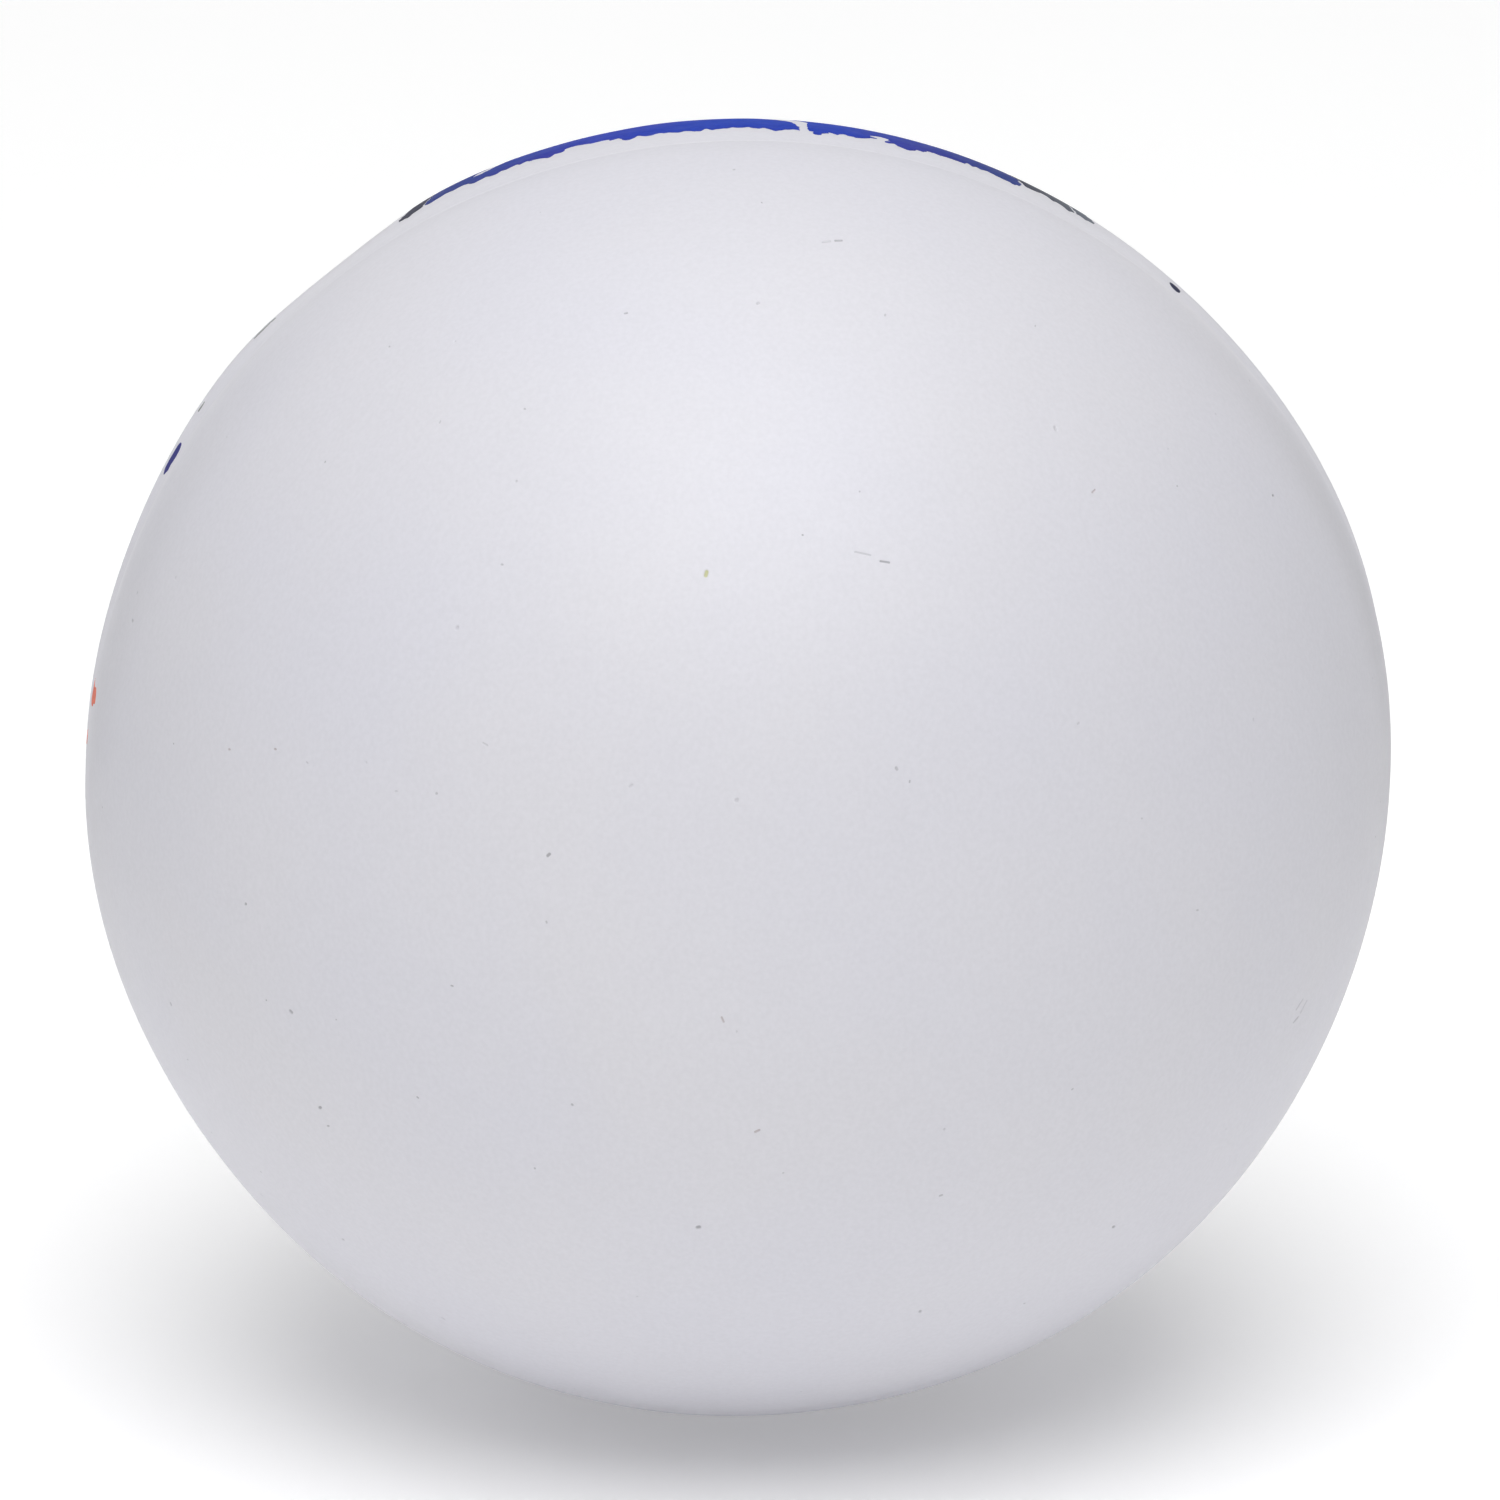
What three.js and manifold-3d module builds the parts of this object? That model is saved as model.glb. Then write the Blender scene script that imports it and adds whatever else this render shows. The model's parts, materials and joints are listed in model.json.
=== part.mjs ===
// A 40 mm table tennis ball: two moulded cups with a lapped and cemented seam, decorated with
// pad-printed ink. Millimetres, +Z up. The cups share the Y axis and the seam is the plane y = 0.
import * as THREE from 'three';
import { mergeVertices } from 'three/addons/utils/BufferGeometryUtils.js';
import ManifoldModule from 'manifold-3d';

// Ball and wall.
const BALL_RADIUS = 20;
const WALL = 0.5;
const BELT_WALL = 0.7;

// Lap joint: a tongue on the front cup sits in a rebate in the rear cup, with cement all round it.
const TONGUE_WALL = 0.3;
const TONGUE_LENGTH = 0.9;
const CEMENT = 0.04;
const BEAD_WIDTH = 0.3;
const BEAD_RISE = 0.15;

// Facets.
const SEGMENTS = 64;
const ARC_STEPS = 16;
const OUTLINE_POINTS = 96;
const ROUND_END_STEPS = 6;
const DOME_STEPS = 48;

// Ink film. Every mark is placed by its longitude about +Y, from +X towards +Z, and by its polar
// angle from +Y, both in degrees. Lengths and widths are in millimetres, and so is the round arc.
const SEAM_POLAR = 90;
const INK = 0.02;
const INK_SEAT = 0.002;
const PANEL = { lon: [64, 118.7], polar: [24, 85.9], corner: 3 };
const DOME = { lon: 91.5, polar: 76, radius: 20 };
const STRIPS = [
  { name: 'print_strip_right', lon: [56.4, 63.6], polar: [24, 84.8], corner: 1.5 },
  { name: 'print_strip_left', lon: [119.1, 121.4], polar: [24, 84.4], corner: 0.6 },
];
const SLITS = [
  { lon: [83.8, 91.0], polar: [88, 52], width: 0.6 },
  { lon: [113.4, 104.0], polar: [80.4, 52], width: 0.8 },
];
const MARKS = [
  { name: 'print_bar_blue', lon: 150.4, polar: 88.2, length: 1.05, width: 0.6, turn: 0, ink: 'blue' },
  { name: 'print_dot_navy', lon: 47.9, polar: 87.3, length: 0.62, width: 0.42, turn: 80, ink: 'dark' },
  { name: 'print_dash_grey', lon: 136.8, polar: 83.8, length: 0.9, width: 0.3, turn: 0, ink: 'grey' },
  { name: 'print_dot_grey', lon: 145.4, polar: 86.5, length: 0.3, width: 0.24, turn: 0, ink: 'grey' },
  { name: 'print_bar_coral', lon: 171.7, polar: 93.1, length: 1.5, width: 0.46, turn: 90, ink: 'coral' },
  { name: 'print_dash_coral', lon: 175.9, polar: 92.0, length: 0.9, width: 0.42, turn: 90, ink: 'coral' },
];

const COLOURS = {
  white: { color: 0xdcdce4, roughness: 0.5 },
  cement: { color: 0xe4e3dc, roughness: 0.35 },
  blue: { color: 0x2944b0, roughness: 0.45 },
  dark: { color: 0x1d2333, roughness: 0.45 },
  grey: { color: 0x8a8f8c, roughness: 0.5 },
  coral: { color: 0xe8604c, roughness: 0.5 },
};

// Derived radii.
const INNER_RADIUS = BALL_RADIUS - WALL;
const BELT_RADIUS = BALL_RADIUS - BELT_WALL;
const TONGUE_RADIUS = BELT_RADIUS + TONGUE_WALL;
const REBATE_RADIUS = TONGUE_RADIUS + CEMENT;
const RIM = CEMENT / 2;
const TONGUE_TOP = TONGUE_LENGTH + CEMENT;
const FRONT = -1;
const REAR = 1;

const manifoldModule = await ManifoldModule();
manifoldModule.setup();
const { Manifold, Mesh } = manifoldModule;
const group = new THREE.Group();
group.name = 'table_tennis_ball';

function material(name) {
  return new THREE.MeshStandardMaterial({ ...COLOURS[name], metalness: 0 });
}

function add(name, geometry, colour) {
  const mesh = new THREE.Mesh(geometry, material(colour));
  mesh.name = name;
  group.add(mesh);
}

function point(radius, height) {
  return new THREE.Vector2(radius, height);
}

// Points of a circle about the centre, between two heights given as angles above the seam.
function arc(radius, fromAngle, toAngle) {
  const points = [];
  for (let step = 0; step <= ARC_STEPS; step += 1) {
    const angle = THREE.MathUtils.lerp(fromAngle, toAngle, step / ARC_STEPS);
    points.push(point(radius * Math.cos(angle), radius * Math.sin(angle)));
  }
  return points;
}

// The outside of a cup, from the rim to the pole on the given side.
function outerArc(radius, side) {
  const rimAngle = Math.asin(RIM / BALL_RADIUS);
  const points = arc(radius, side * rimAngle, side * Math.PI / 2);
  points[ARC_STEPS].x = 0;
  return points;
}

// The inside of a cup, from the foot of the belt to the pole on the given side.
function innerArc(side) {
  const beltAngle = Math.acos(BELT_RADIUS / INNER_RADIUS);
  const points = arc(INNER_RADIUS, side * beltAngle, side * Math.PI / 2);
  points[ARC_STEPS].x = 0;
  return points;
}

function revolve(points) {
  return new THREE.LatheGeometry(points, SEGMENTS);
}

function frontCup() {
  const joint = [
    point(TONGUE_RADIUS, -RIM),
    point(TONGUE_RADIUS, TONGUE_LENGTH),
    point(BELT_RADIUS, TONGUE_LENGTH),
  ];
  return revolve([...outerArc(BALL_RADIUS, FRONT).reverse(), ...joint, ...innerArc(FRONT)]);
}

function rearCup() {
  const joint = [
    point(BELT_RADIUS, TONGUE_TOP),
    point(REBATE_RADIUS, TONGUE_TOP),
    point(REBATE_RADIUS, RIM),
  ];
  return revolve([...innerArc(REAR).reverse(), ...joint, ...outerArc(BALL_RADIUS, REAR)]);
}

// Cement between the rims, up the outside of the tongue and over its end, with a squeezed-out bead.
function seamCement() {
  const rimRadius = BALL_RADIUS * Math.cos(Math.asin(RIM / BALL_RADIUS));
  const beadCentre = TONGUE_LENGTH + RIM;
  return revolve([
    point(TONGUE_RADIUS, -RIM),
    point(rimRadius, -RIM),
    point(rimRadius, RIM),
    point(REBATE_RADIUS, RIM),
    point(REBATE_RADIUS, TONGUE_TOP),
    point(BELT_RADIUS, TONGUE_TOP),
    point(BELT_RADIUS, beadCentre + BEAD_WIDTH / 2),
    point(BELT_RADIUS - BEAD_RISE, beadCentre),
    point(BELT_RADIUS, beadCentre - BEAD_WIDTH / 2),
    point(BELT_RADIUS, TONGUE_LENGTH),
    point(TONGUE_RADIUS, TONGUE_LENGTH),
    point(TONGUE_RADIUS, -RIM),
  ]);
}

// A welded copy without the zero-area triangles a lathe makes on its axis.
function toManifold(geometry) {
  const bare = new THREE.BufferGeometry();
  bare.setAttribute('position', geometry.attributes.position);
  bare.setIndex(geometry.index);
  const welded = mergeVertices(bare, 1e-5);
  const corners = welded.index.array;
  const kept = [];
  for (let i = 0; i < corners.length; i += 3) {
    const [a, b, c] = corners.slice(i, i + 3);
    if (a !== b && b !== c && c !== a) {
      kept.push(a, b, c);
    }
  }
  return new Manifold(new Mesh({
    numProp: 3,
    vertProperties: new Float32Array(welded.attributes.position.array),
    triVerts: new Uint32Array(kept),
  }));
}

function toGeometry(manifold) {
  const mesh = manifold.getMesh();
  const geometry = new THREE.BufferGeometry();
  geometry.setAttribute('position', new THREE.BufferAttribute(mesh.vertProperties, 3));
  geometry.setIndex(new THREE.BufferAttribute(mesh.triVerts, 1));
  geometry.computeVertexNormals();
  return geometry;
}

// A thin skin over one cup, with the same facets as the cup under it.
function film(side) {
  const outside = outerArc(BALL_RADIUS + INK, side);
  const inside = outerArc(BALL_RADIUS + INK_SEAT, side);
  const profile = side === REAR
    ? [...inside.reverse(), ...outside]
    : [...outside.reverse(), ...inside];
  return toManifold(revolve(profile));
}

function direction(lon, polar) {
  const along = THREE.MathUtils.degToRad(lon);
  const down = THREE.MathUtils.degToRad(polar);
  return new THREE.Vector3(
    Math.sin(down) * Math.cos(along),
    Math.cos(down),
    Math.sin(down) * Math.sin(along),
  );
}

// Axes of the plane touching the ball at one spot: x along the parallel, z straight out.
function tangentFrame(lon, polar) {
  const out = direction(lon, polar);
  const along = direction(lon + 90, 90);
  const across = new THREE.Vector3().crossVectors(out, along);
  return new THREE.Matrix4().makeBasis(along, across, out);
}

// Where the ray from the centre through a spot meets the touching plane of the given frame.
function onPlane(lon, polar, frame) {
  const local = direction(lon, polar).applyMatrix4(frame.clone().transpose());
  return point(BALL_RADIUS * local.x / local.z, BALL_RADIUS * local.y / local.z);
}

// A solid cone stump that cuts the outline through the film along rays from the centre.
function cutter(outline, frame) {
  const reach = { depth: BALL_RADIUS, bevelEnabled: false };
  const block = new THREE.ExtrudeGeometry(new THREE.Shape(outline), reach);
  block.translate(0, 0, BALL_RADIUS / 2);
  const corners = block.attributes.position;
  for (let i = 0; i < corners.count; i += 1) {
    const spread = corners.getZ(i) / BALL_RADIUS;
    corners.setXY(i, corners.getX(i) * spread, corners.getY(i) * spread);
  }
  return toManifold(block.applyMatrix4(frame));
}

// A patch bounded by two meridians and two parallels, with rounded corners.
function patch({ lon, polar, corner }, frame) {
  const [west, east] = lon;
  const [low, high] = polar;
  const quarter = Math.PI / 2;
  const outline = new THREE.Shape();
  outline.absarc(east - corner, high - corner, corner, 0, quarter);
  outline.absarc(west + corner, high - corner, corner, quarter, 2 * quarter);
  outline.absarc(west + corner, low + corner, corner, 2 * quarter, 3 * quarter);
  outline.absarc(east - corner, low + corner, corner, 3 * quarter, 4 * quarter);
  outline.closePath();
  const spots = outline.getSpacedPoints(OUTLINE_POINTS).slice(0, OUTLINE_POINTS);
  return cutter(spots.map((spot) => onPlane(spot.x, spot.y, frame)), frame);
}

// A straight slit through the panel towards the pole, narrowing to a point.
function slit({ lon, polar, width }, frame) {
  const mouth = onPlane(lon[0], polar[0], frame);
  const end = onPlane(lon[1], polar[1], frame);
  const run = new THREE.Vector2().subVectors(end, mouth).normalize();
  const side = point(-run.y, run.x).multiplyScalar(width / 2);
  return cutter([mouth.clone().sub(side), end, mouth.clone().add(side)], frame);
}

// A small bar with round ends, or a dot when its length is close to its width.
function bar({ lon, polar, length, width, turn }) {
  const reach = (length - width) / 2;
  const quarter = Math.PI / 2;
  const outline = new THREE.Shape();
  outline.absarc(reach, 0, width / 2, -quarter, quarter);
  outline.absarc(-reach, 0, width / 2, quarter, 3 * quarter);
  const spots = outline.getPoints(ROUND_END_STEPS);
  const angle = THREE.MathUtils.degToRad(turn);
  return cutter(spots.map((spot) => spot.rotateAround(point(0, 0), angle)), tangentFrame(lon, polar));
}

// The large panel and the strips along its sides all end in one round arc towards the pole.
function addPanel(rearFilm) {
  const frame = tangentFrame(DOME.lon, DOME.polar);
  const circle = new THREE.Shape().absarc(0, 0, DOME.radius, 0, 2 * Math.PI).getPoints(DOME_STEPS);
  const domed = rearFilm.intersect(cutter(circle, frame));
  let panel = domed.intersect(patch(PANEL, frame));
  for (const spec of SLITS) {
    panel = panel.subtract(slit(spec, frame));
  }
  add('print_panel', toGeometry(panel), 'blue');
  for (const strip of STRIPS) {
    add(strip.name, toGeometry(domed.intersect(patch(strip, frame))), 'dark');
  }
}

function addMarks(frontFilm, rearFilm) {
  for (const mark of MARKS) {
    const skin = mark.polar > SEAM_POLAR ? frontFilm : rearFilm;
    add(mark.name, toGeometry(skin.intersect(bar(mark))), mark.ink);
  }
}

const frontFilm = film(FRONT);
const rearFilm = film(REAR);
add('front_cup', frontCup(), 'white');
add('rear_cup', rearCup(), 'white');
add('seam_cement', seamCement(), 'cement');
addPanel(rearFilm);
addMarks(frontFilm, rearFilm);

export default group;
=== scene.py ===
"""Looks of a white table tennis ball: two cups, the cement in their seam and the printed ink.

Metres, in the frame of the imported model: the cups share the Y axis, the front cup is on -Y and
the seam is the plane y = 0. A place on the ball is given by its longitude about +Y, from +X
towards +Z, and by its polar angle from +Y, both in degrees.
"""

import json
import math

import bpy
import numpy as np
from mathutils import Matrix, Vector
from mathutils.geometry import delaunay_2d_cdt


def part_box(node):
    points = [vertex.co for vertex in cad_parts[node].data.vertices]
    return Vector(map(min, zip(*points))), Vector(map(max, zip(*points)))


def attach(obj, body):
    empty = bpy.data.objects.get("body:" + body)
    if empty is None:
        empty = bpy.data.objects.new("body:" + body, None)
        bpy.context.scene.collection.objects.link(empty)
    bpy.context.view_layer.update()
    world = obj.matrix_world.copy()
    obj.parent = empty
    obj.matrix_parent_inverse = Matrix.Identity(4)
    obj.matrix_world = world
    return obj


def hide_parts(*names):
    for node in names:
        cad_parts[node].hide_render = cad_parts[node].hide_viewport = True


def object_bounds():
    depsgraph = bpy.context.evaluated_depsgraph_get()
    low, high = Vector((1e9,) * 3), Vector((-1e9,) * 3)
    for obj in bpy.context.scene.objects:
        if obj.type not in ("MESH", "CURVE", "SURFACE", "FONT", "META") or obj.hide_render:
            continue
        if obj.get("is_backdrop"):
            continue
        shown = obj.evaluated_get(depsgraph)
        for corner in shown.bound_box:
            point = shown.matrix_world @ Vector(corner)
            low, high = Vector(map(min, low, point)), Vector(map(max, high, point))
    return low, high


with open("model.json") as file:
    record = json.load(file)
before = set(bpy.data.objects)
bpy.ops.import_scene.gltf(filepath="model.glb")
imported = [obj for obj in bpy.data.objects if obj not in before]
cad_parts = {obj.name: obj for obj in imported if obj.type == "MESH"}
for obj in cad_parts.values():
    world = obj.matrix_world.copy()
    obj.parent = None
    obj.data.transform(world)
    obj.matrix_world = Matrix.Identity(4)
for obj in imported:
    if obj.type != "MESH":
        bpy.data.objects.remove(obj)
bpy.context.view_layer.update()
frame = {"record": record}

MM = 0.001
FRONT = -1
REAR = 1
# Keeps a chart's middle from dividing by zero.
TINY = 1e-12
# Points of a flat mesh that are this close together, in mm, become one.
MERGE_DISTANCE = 1e-6

# Seeds of the random draws.
RIPPLE_SEED = 7
FLAW_SEEDS = {FRONT: 6, REAR: 8}
MESH_SEEDS = {FRONT: 17, REAR: 37}
PATCH_SEED = 37
MARK_SEED = 47
CEMENT_SEED = 57

# Ball and joint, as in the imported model.
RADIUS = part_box("rear_cup")[1].y
INNER_RADIUS = RADIUS - 0.5 * MM
BELT_RADIUS = RADIUS - 0.7 * MM
TONGUE_RADIUS = BELT_RADIUS + 0.3 * MM
TONGUE_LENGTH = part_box("front_cup")[1].y
CEMENT = 0.04 * MM
REBATE_RADIUS = TONGUE_RADIUS + CEMENT
TONGUE_TOP = TONGUE_LENGTH + CEMENT
RIM = CEMENT / 2

# Surface: mesh spacing, rounded lips, and the shallow valley along the seam.
SPACING = 0.34 * MM
RIM_POINTS = 420
RIM_RINGS = [inset * MM for inset in (0.05, 0.14, 0.27, 0.38, 0.5, 0.63, 0.78, 0.95, 1.2)]
LIP = 0.03 * MM
LIP_STEPS = 4
INNER_RINGS = 12
SHARP_ANGLE = math.radians(50)
VALLEY_DEPTH = 0.07 * MM
VALLEY_REACH = 1.2 * MM

# Painted shade and painted rim light near the seam: the darker places are painted shade on the
# ball's sides, the paler ones painted rim light. Longitude, polar angle, reach along each, change
# of tone.
PAINTED_SHADE_AND_RIM_LIGHT = [
    (17, 97.5, 24, 5, -0.13),
    (165, 98.5, 26, 6, -0.08),
    (8, 107, 16, 11, -0.05),
    (173, 107, 14, 14, -0.04),
    (25, 90.5, 24, 2.6, 0.05),
    (158, 90.5, 18, 2.6, 0.03),
    (48, 88, 14, 3, 0.03),
    (138, 87, 18, 3, 0.04),
]

# Swells and dips of a ball that is out of round: longitude, polar angle, reach, height.
SWELLS = [
    (19, 84, 19, 0.21 * MM),
    (186, 91, 18, 0.13 * MM),
    (129, 79, 8, -0.32 * MM),
    (336, 97, 20, -0.1 * MM),
    (96, 76, 26, -0.12 * MM),
    (109, 79, 10, -0.04 * MM),
    (158, 84, 18, -0.09 * MM),
    (214, 97, 12, -0.055 * MM),
    (280, 107, 14, -0.05 * MM),
]
# Fine random ripples over the whole ball.
RIPPLES = 24
RIPPLE_LENGTH = (1.6 * MM, 5 * MM)
RIPPLE_HEIGHT = 0.0006 * MM

# Random pits on both cups. A tint or tone multiplies the plastic's colour.
PITS_PER_CUP = 90
PIT_RADIUS = (0.035 * MM, 0.08 * MM)
PIT_TONE = (0.55, 0.92)
PIT_STRETCH = 1.5
# All flaws: depth, mesh rings, clearance of the plain mesh and room for the next flaw, in radii.
FLAW_DEPTH = 0.45
FLAW_RINGS = (0.5, 1.0, 1.4)
FLAW_CLEARANCE = 0.4
FLAW_GAP = 3
FLAW_STEP = 0.035 * MM
# How much of a flaw has its full tint: 1 is only the middle.
FLAW_FILL = 1.6
GREY = (0.62, 0.62, 0.63)
PALE_GREY = (0.86, 0.86, 0.86)
WARM_GREY = (0.74, 0.68, 0.67)
LIME = (0.78, 0.8, 0.42)
# Single flaws: degrees right of and above the front pole, turn, length and half width in mm, tint.
FLAWS = [
    (11.4, 34, -10, 0.28, 0.045, GREY),
    (9.4, 34.8, -14, 0.5, 0.04, PALE_GREY),
    (10.2, 68.8, 4, 0.26, 0.06, GREY),
    (8.8, 68.6, 12, 0.3, 0.06, PALE_GREY),
    (-4.8, 33.2, 75, 0.12, 0.075, LIME),
    (-3.5, -5.4, -68, 0.16, 0.04, WARM_GREY),
    (-0.5, -16.2, 30, 0.14, 0.05, WARM_GREY),
    (-24.5, 17.8, -25, 0.16, 0.04, PALE_GREY),
    (-13, 59.5, 10, 0.09, 0.045, GREY),
    (14, 59, 60, 0.05, 0.05, PALE_GREY),
    (33.5, 40, 35, 0.16, 0.04, WARM_GREY),
    (-52.5, 14, 0, 0.05, 0.05, WARM_GREY),
    (-46.5, 15, 0, 0.05, 0.05, WARM_GREY),
    (57.6, -16.4, 35, 0.45, 0.05, PALE_GREY),
    (58.6, -17.2, 48, 0.5, 0.05, PALE_GREY),
    (57.4, -18.2, 20, 0.3, 0.05, PALE_GREY),
]

# Print: a film's height above the plastic and depth below it, and its mesh.
INK = 0.012 * MM
INK_ROOT = 0.006 * MM
INK_SPACING = 0.34 * MM
EDGE_STEP = 0.05 * MM
EDGE_CLEARANCE = 0.6 * EDGE_STEP + 0.1 * INK_SPACING
OUTLINE_POINTS = 400
# Sides, rear and front edge and corners of the panel and its strips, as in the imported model.
PANEL = {"lon": (64, 118.7), "polar": (24, 85.9), "corner": 1.2}
# The panel's round rear edge is part of a circle on the ball: its middle and reach.
DOME = {"lon": 91.5, "polar": 76, "reach": 45}
STRIPS = {
    "print_strip_right": {"lon": (56.4, 63.6), "polar": (24, 84.8), "corner": 1},
    "print_strip_left": {"lon": (119.1, 121.4), "polar": (24, 84.4), "corner": 0.4},
}
# Slits, from their front end to their point: longitude, polar angle, half width in mm.
OPEN_SLIT = [
    (84, 88, 0.13),
    (84, 84, 0.14),
    (84.3, 79.5, 0.34),
    (86.6, 75, 0.8),
    (88.6, 68, 0.4),
    (91, 52, 0),
]
CLOSED_SLIT = [(113.8, 80.4, 0.2), (112.2, 76, 0.5), (109, 66, 0.3), (104, 52, 0)]
STRIP_SLIT = [(58.5, 88, 0.08), (58, 66, 0)]
# The right strip pales away from the panel: tint of its far side.
STRIP_FADE = (3.2, 3.4, 2.4)
# The panel darkens to both sides: tint of the sides, and where the change starts and ends,
# in degrees from the middle.
PANEL_FADE = (1.6, 1.0, 0.55)
FADE_SPAN = (11, 25)
# Bulges and nicks of the panel's front edge: longitude, half width and reach, in degrees.
EDGE_BUMPS = [
    (64.6, 0.7, 0.8),
    (69.4, 3.2, -1.5),
    (74.4, 1, 0.5),
    (77.1, 0.4, -2),
    (80.5, 2.2, -0.9),
    (82.9, 0.5, 1.2),
    (97, 1.8, -0.7),
    (103.4, 2.4, -2.2),
    (109.5, 3, -1.5),
    (116, 4.5, -2.1),
]
# Wear of an outline: length and height of its waves, their share on the cleaner sides, and the
# polar angles between which clean turns to rough.
ROUGH_EDGE = [(1.1 * MM, 0.12 * MM), (0.36 * MM, 0.2 * MM), (0.17 * MM, 0.2 * MM)]
CLEAN_SHARE = 0.15
ROUGH_POLAR = (80.5, 82)
# Small marks: longitude, polar angle, length and width in mm, turn, wear of the outline.
MARKS = {
    "print_bar_blue": (150.4, 88.2, 1.05, 0.6, 0, 0.2),
    "print_dot_navy": (47.9, 87.3, 0.62, 0.42, 80, 0.2),
    "print_dash_grey": (136.8, 83.8, 0.9, 0.3, 0, 0.4),
    "print_dot_grey": (145.4, 86.5, 0.3, 0.24, 0, 0.3),
    "print_bar_coral": (171.7, 93.1, 1.5, 0.46, 90, 0.3),
    "print_dash_coral": (175.9, 92, 0.9, 0.42, 90, 0.4),
}
NO_TINT = (1, 1, 1)
MARK_TINTS = {"print_bar_blue": (2.2, 0.75, 0.5)}

# Cement: how far its top sags below the lips, the first lip step it covers, the bead inside,
# and the gap to its neighbours.
CEMENT_SAG = 0.005 * MM
CEMENT_WAVES = [(2.5 * MM, 0.0015 * MM), (0.9 * MM, 0.001 * MM)]
CEMENT_START = 1
BEAD_WIDTH = 0.3 * MM
BEAD_RISE = 0.15 * MM
SLACK = 0.002 * MM

# Finishes. A colour pair is two tones that drift into each other.
COOL_WHITES = ((0.69, 0.684, 0.727), (0.678, 0.675, 0.732))
CEMENT_TONES = ((0.7, 0.69, 0.72), (0.68, 0.68, 0.73))
WHITE = (0.68, 0.68, 0.72)
BLUES = ((0.006, 0.052, 0.43), (0.03, 0.04, 0.38))
DARKS = ((0.035, 0.038, 0.08), (0.065, 0.068, 0.085))
GREYS = ((0.24, 0.26, 0.25), (0.34, 0.36, 0.33))
CORALS = ((0.75, 0.15, 0.09), (0.78, 0.24, 0.17))
PLASTIC_GRAIN = 0.02
PLASTIC_GLOSS = (0.46, 0.54)
PLASTIC_BUMP = 0.003 * MM
PLASTIC_SHINE = 0.5
CEMENT_GLOSS = (0.4, 0.5)
INK_GLOSS = (0.5, 0.62)
INK_BUMP = 0.006 * MM
INK_SHINE = 0.04
# Grain of an ink, and how much of it covers the plastic.
DENSE_INK = (0.12, 0.78)
THIN_INK = (0.1, 0.66)
SPECK_SIZE = 0.2 * MM
SPECK_SOFTNESS = 0.04
# Sizes of the noise, its detail, and the shifts between the noises of one material and between
# the two cups.
BROAD_PATCH = 9 * MM
GRAIN_SIZE = 0.16 * MM
GLOSS_PATCH = 0.8 * MM
BUMP_SIZE = 0.22 * MM
PLAIN_DETAIL = 2.0
FINE_DETAIL = 3.0
GLOSS_DETAIL = 4.0
SHIFT = 0.37
REAR_SHIFT = 1.0
# Sockets of the Mix node for colours: the share, the two colours, and the result.
MIX_INPUTS = (0, 6, 7)
MIX_RESULT = 2

# Lights: name, azimuth, elevation, diameter, watts.
LIGHTS = [
    ("overhead", 0, 89, 0.9, 2.85),
    ("key", 0, 60, 0.7, 4.4),
    ("left", -50, 45, 0.6, 0.4),
]
LIGHT_DISTANCE = 0.8
# The sky is dim at the front and brighter behind the ball, as a backdrop is.
SKY = (0.05, 0.47)
SKY_SPAN = (-0.2, 0.9)
BELOW_HORIZON = 0.93
HORIZON_SOFTNESS = 0.02
# The floor glows more towards its far edge, so that it fades into the backdrop.
FLOOR_SIDES = 64
FLOOR_REACH = 3.2
FLOOR_GLOW = (0.2, 0.72)
FLOOR_RISE = (0.35, 1.3)
PAPER = (0.9, 0.9, 0.9, 1)
PAPER_ROUGHNESS = 0.9
# Camera: azimuth and elevation, distance, the ball's share of the view's width, and the aim
# beside and above the ball's centre as shares of that width.
CAMERA_VIEW = (-2.2, 16.6)
CAMERA_DISTANCE = 0.5
BALL_SHARE = 0.868
AIM_ASIDE = 0.00767
AIM_UP = 0.01067


def unit(vector):
    return vector / np.linalg.norm(vector, axis=-1, keepdims=True)


def direction(lon, polar):
    """Unit vectors for places on the ball. Takes degrees, as numbers or arrays."""
    around, down = np.radians(lon), np.radians(polar)
    return np.stack([
        np.sin(down) * np.cos(around),
        np.cos(down) * np.ones_like(around),
        np.sin(down) * np.sin(around),
    ], axis=-1)


class Chart:
    """Flat map of the ball about one place, where distances from the middle are arcs."""

    def __init__(self, centre, along):
        self.out = centre
        self.along = along
        self.across = np.cross(centre, along)

    def flatten(self, places):
        flat = np.stack([places @ self.along, places @ self.across], axis=-1)
        reach = np.linalg.norm(flat, axis=-1, keepdims=True)
        arc = RADIUS * np.arctan2(reach, (places @ self.out)[..., None])
        return flat / np.maximum(reach, TINY) * arc

    def lift(self, flat):
        arc = np.linalg.norm(flat, axis=-1, keepdims=True)
        side = flat / np.maximum(arc, TINY) * np.sin(arc / RADIUS)
        middle = np.cos(arc / RADIUS) * self.out
        return side[..., :1] * self.along + side[..., 1:] * self.across + middle


CUP_CHARTS = {
    side: Chart(np.array([0.0, side, 0.0]), np.array([-side, 0.0, 0.0]))
    for side in (FRONT, REAR)
}


def mark_chart(lon, polar):
    """Chart about a place on the ball, whose first axis points to greater longitudes."""
    return Chart(direction(lon, polar), direction(lon + 90, 90))


def make_ripples():
    """Random long waves that keep the surface from being a perfect sphere."""
    rng = np.random.default_rng(RIPPLE_SEED)
    axes = unit(rng.normal(size=(RIPPLES, 3)))
    lengths = rng.uniform(*RIPPLE_LENGTH, RIPPLES)
    return axes * (2 * np.pi / lengths)[:, None], rng.uniform(0, 2 * np.pi, RIPPLES)


RIPPLE_WAVES, RIPPLE_STARTS = make_ripples()


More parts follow.
